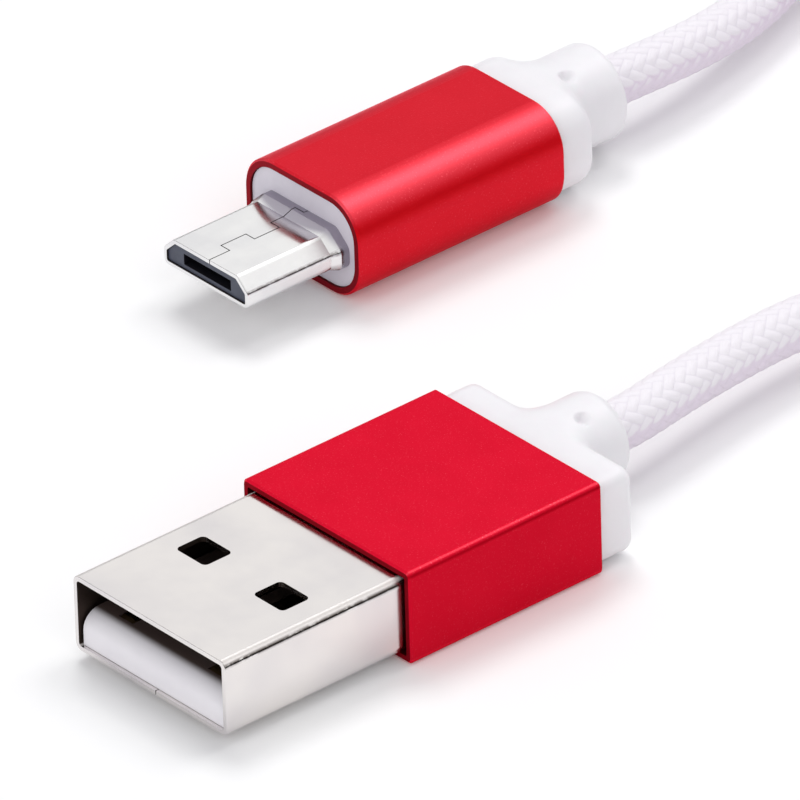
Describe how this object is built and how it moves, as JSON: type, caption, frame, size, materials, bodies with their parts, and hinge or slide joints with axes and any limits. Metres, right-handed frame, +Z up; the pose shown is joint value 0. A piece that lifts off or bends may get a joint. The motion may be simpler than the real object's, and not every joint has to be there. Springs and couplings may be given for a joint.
{
  "type": "charging cable",
  "caption": "Braided charging cable with a type A host plug, a micro B device plug with spring latches, and its spare length in a flat coil.",
  "frame": {"origin": "on the floor the cable lies on, under the middle of the two plugs' common outline", "axes": "+Z up, -Y the way both plugs point and +Y the way the cord leaves them, +X from the device plug towards the host plug"},
  "size_m": [0.0481, 0.1123, 0.006],
  "materials": {
    "nickel_shell": "nickel-plated folded steel, satin to bright",
    "red_anodised": "fine bead-blast, red anodised, satin",
    "white_boot": "smooth white elastomer, soft sheen",
    "white_insulator": "white moulded insulator",
    "dark_insulator": "dark grey-blue moulded insulator",
    "white_moulding": "plain white moulding",
    "gold_contact": "gold-plated copper alloy, bright",
    "spring_steel": "stamped spring steel",
    "solder": "bright solder",
    "clamp_steel": "plated strip, crimped",
    "cable_jacket": "soft PVC jacket",
    "wire_red": "PVC wire insulation",
    "wire_white": "PVC wire insulation",
    "wire_green": "PVC wire insulation",
    "wire_black": "PVC wire insulation",
    "white_braid": "tight white textile braid"
  },
  "bodies": {
    "cable": {"cord_coil": "white_braid", "cord_host_run": "white_braid", "cord_micro_run": "white_braid", "host_boot": "white_boot", "host_braid_end": "white_braid", "host_cable_clamp": "clamp_steel", "host_contact_data_minus": "gold_contact", "host_contact_data_plus": "gold_contact", "host_contact_ground": "gold_contact", "host_contact_power": "gold_contact", "host_inner_mould": "white_moulding", "host_insulator": "white_insulator", "host_jacket_end": "cable_jacket", "host_shell": "nickel_shell", "host_sleeve": "red_anodised", "host_solder_data_minus": "solder", "host_solder_data_plus": "solder", "host_solder_ground": "solder", "host_solder_power": "solder", "host_wire_data_minus": "wire_white", "host_wire_data_plus": "wire_green", "host_wire_ground": "wire_black", "host_wire_power": "wire_red", "micro_boot": "white_boot", "micro_braid_end": "white_braid", "micro_cable_clamp": "clamp_steel", "micro_core": "white_moulding", "micro_insulator": "dark_insulator", "micro_jacket_end": "cable_jacket", "micro_latch_anchor_left": "spring_steel", "micro_latch_anchor_right": "spring_steel", "micro_shell": "nickel_shell", "micro_sleeve": "red_anodised", "micro_solder_data_minus": "solder", "micro_solder_data_plus": "solder", "micro_solder_ground": "solder", "micro_solder_power": "solder", "micro_tail_1": "gold_contact", "micro_tail_2": "gold_contact", "micro_tail_3": "gold_contact", "micro_tail_4": "gold_contact", "micro_tail_5": "gold_contact", "micro_wire_data_minus": "wire_white", "micro_wire_data_plus": "wire_green", "micro_wire_ground": "wire_black", "micro_wire_power": "wire_red"},
    "contact_1": {"micro_contact_1": "gold_contact"},
    "contact_2": {"micro_contact_2": "gold_contact"},
    "contact_3": {"micro_contact_3": "gold_contact"},
    "contact_4": {"micro_contact_4": "gold_contact"},
    "contact_5": {"micro_contact_5": "gold_contact"},
    "latch_left": {"micro_latch_left": "spring_steel"},
    "latch_right": {"micro_latch_right": "spring_steel"}
  },
  "joints": [
    {"name": "contact_1_spring", "type": "hinge", "parent": "cable", "child": "contact_1", "pos_m": [-0.01565, 0.0052, 0.0025], "axis": [1, 0, 0], "range_deg": [0, 1.9], "stiffness_Nm_per_rad": 0.032},
    {"name": "contact_2_spring", "type": "hinge", "parent": "cable", "child": "contact_2", "pos_m": [-0.015, 0.0052, 0.0025], "axis": [1, 0, 0], "range_deg": [0, 1.9], "stiffness_Nm_per_rad": 0.032},
    {"name": "contact_3_spring", "type": "hinge", "parent": "cable", "child": "contact_3", "pos_m": [-0.01435, 0.0052, 0.0025], "axis": [1, 0, 0], "range_deg": [0, 1.9], "stiffness_Nm_per_rad": 0.032},
    {"name": "contact_4_spring", "type": "hinge", "parent": "cable", "child": "contact_4", "pos_m": [-0.0137, 0.0052, 0.0025], "axis": [1, 0, 0], "range_deg": [0, 1.9], "stiffness_Nm_per_rad": 0.032},
    {"name": "contact_5_spring", "type": "hinge", "parent": "cable", "child": "contact_5", "pos_m": [-0.01305, 0.0052, 0.0025], "axis": [1, 0, 0], "range_deg": [0, 1.9], "stiffness_Nm_per_rad": 0.032},
    {"name": "latch_left_spring", "type": "hinge", "parent": "cable", "child": "latch_left", "pos_m": [-0.0168, 0.0066, 0.0025], "axis": [-1, 0, 0], "range_deg": [0, 5.3], "stiffness_Nm_per_rad": 0.13},
    {"name": "latch_right_spring", "type": "hinge", "parent": "cable", "child": "latch_right", "pos_m": [-0.0119, 0.0066, 0.0025], "axis": [-1, 0, 0], "range_deg": [0, 5.3], "stiffness_Nm_per_rad": 0.13}
  ]
}
